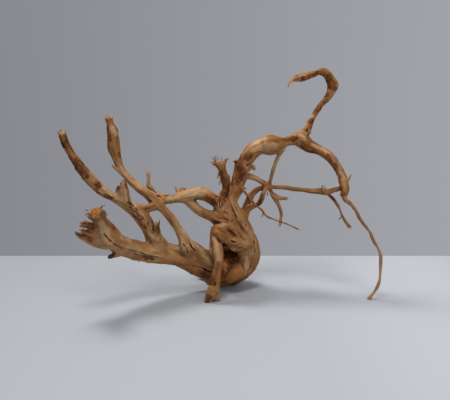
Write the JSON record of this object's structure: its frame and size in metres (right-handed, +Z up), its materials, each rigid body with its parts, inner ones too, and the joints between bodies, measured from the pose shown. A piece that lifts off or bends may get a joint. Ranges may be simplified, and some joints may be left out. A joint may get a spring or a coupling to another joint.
{
  "type": "dry root",
  "caption": "Weathered debarked root that stands on its swollen bole, with broken arms to the left and a hooked arch of thin roots to the right.",
  "frame": {"origin": "centre of the bounding box, on the surface the root stands on", "axes": "+X to the right along the arms, +Y to the back, +Z up"},
  "size_m": [0.461, 0.1776, 0.3482],
  "materials": {
    "wood": "dry, debarked, satin to rough"
  },
  "bodies": {
    "root": {"dry_root": "wood"}
  },
  "joints": []
}
